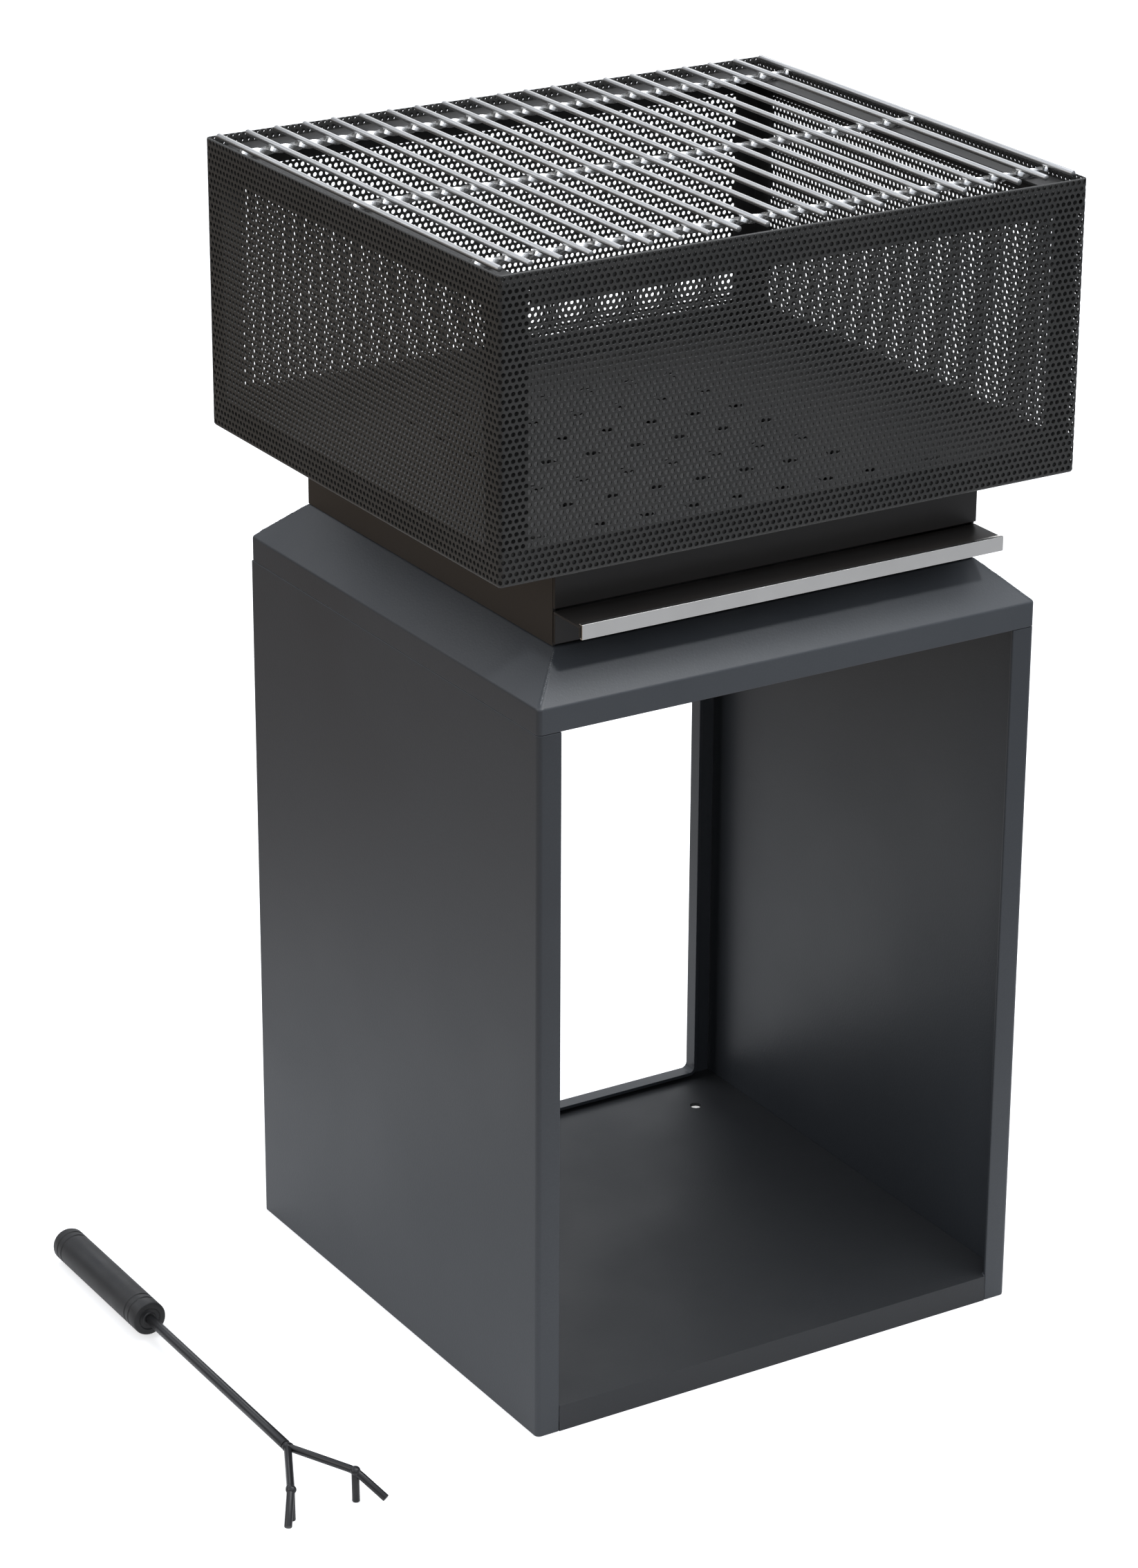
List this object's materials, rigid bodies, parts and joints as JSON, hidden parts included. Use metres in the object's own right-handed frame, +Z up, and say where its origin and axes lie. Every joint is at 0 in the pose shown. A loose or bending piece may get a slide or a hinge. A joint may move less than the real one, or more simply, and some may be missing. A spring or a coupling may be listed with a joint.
{
  "type": "fire pit with grate",
  "caption": "Square sheet-steel log-store plinth with a perforated fire basket on a short housing, a pull-out ash drawer, a lift-off bar grate and a lifting tool.",
  "frame": {"origin": "on the ground under the middle of the plinth", "axes": "+Z up; +X to the right along the drawer side; +Y from the drawer side to the back, so the drawer pulls out towards -Y"},
  "size_m": [0.7104, 0.4831, 0.932],
  "materials": {
    "plinth_coat": "satin anthracite powder coat",
    "housing_black": "satin black stove enamel",
    "mesh_black": "satin black stove enamel on perforated sheet",
    "firebox_black": "matte black heat-resistant paint",
    "grate_steel": "bright plated steel",
    "trim_polished": "mirror-polished stainless steel",
    "tool_grip_black": "satin black moulded grip",
    "tool_black": "satin black enamel"
  },
  "bodies": {
    "stand": {"plinth_left_panel": "plinth_coat", "plinth_right_panel": "plinth_coat", "plinth_rear_panel": "plinth_coat", "log_store_floor": "plinth_coat", "floor_stiffener": "plinth_coat", "plinth_cap": "plinth_coat", "neck_left_wall": "housing_black", "neck_right_wall": "housing_black", "neck_rear_wall": "housing_black", "neck_front_fascia": "housing_black", "drawer_left_runner": "housing_black", "drawer_right_runner": "housing_black", "basket_front_mesh": "mesh_black", "grate_ledge_front": "firebox_black", "basket_right_mesh": "mesh_black", "grate_ledge_right": "firebox_black", "basket_rear_mesh": "mesh_black", "grate_ledge_rear": "firebox_black", "basket_left_mesh": "mesh_black", "grate_ledge_left": "firebox_black", "corner_post_front_left": "firebox_black", "corner_post_front_right": "firebox_black", "corner_post_rear_left": "firebox_black", "corner_post_rear_right": "firebox_black", "pan_rivet_1": "firebox_black", "pan_rivet_2": "firebox_black", "pan_rivet_3": "firebox_black", "pan_rivet_4": "firebox_black", "fire_pan": "firebox_black"},
    "ash_drawer": {"ash_drawer_tray": "firebox_black", "ash_drawer_rear": "firebox_black", "ash_drawer_front": "housing_black", "ash_drawer_trim": "trim_polished"},
    "grate": {"grate_bar_01": "grate_steel", "grate_bar_02": "grate_steel", "grate_bar_03": "grate_steel", "grate_bar_04": "grate_steel", "grate_bar_05": "grate_steel", "grate_bar_06": "grate_steel", "grate_bar_07": "grate_steel", "grate_bar_08": "grate_steel", "grate_bar_09": "grate_steel", "grate_bar_10": "grate_steel", "grate_bar_11": "grate_steel", "grate_bar_12": "grate_steel", "grate_bar_13": "grate_steel", "grate_bar_14": "grate_steel", "grate_bar_15": "grate_steel", "grate_bar_16": "grate_steel", "grate_bar_17": "grate_steel", "grate_bar_18": "grate_steel", "grate_bar_19": "grate_steel", "grate_bar_20": "grate_steel", "grate_bar_21": "grate_steel", "grate_cross_rod_1": "grate_steel", "grate_cross_rod_2": "grate_steel", "grate_cross_rod_3": "grate_steel"},
    "lifting_tool": {"tool_grip": "tool_grip_black", "tool_shaft": "tool_black", "tool_fork": "tool_black"}
  },
  "joints": [
    {"name": "ash_drawer_slide", "type": "slide", "parent": "stand", "child": "ash_drawer", "axis": [0, -1, 0], "range_m": [0, 0.3]},
    {"name": "grate_lift", "type": "slide", "parent": "stand", "child": "grate", "axis": [0, 0, 1], "range_m": [0, 0.25]},
    {"name": "tool_lift", "type": "slide", "parent": "stand", "child": "lifting_tool", "axis": [0, 0, 1], "range_m": [0, 0.3]}
  ]
}
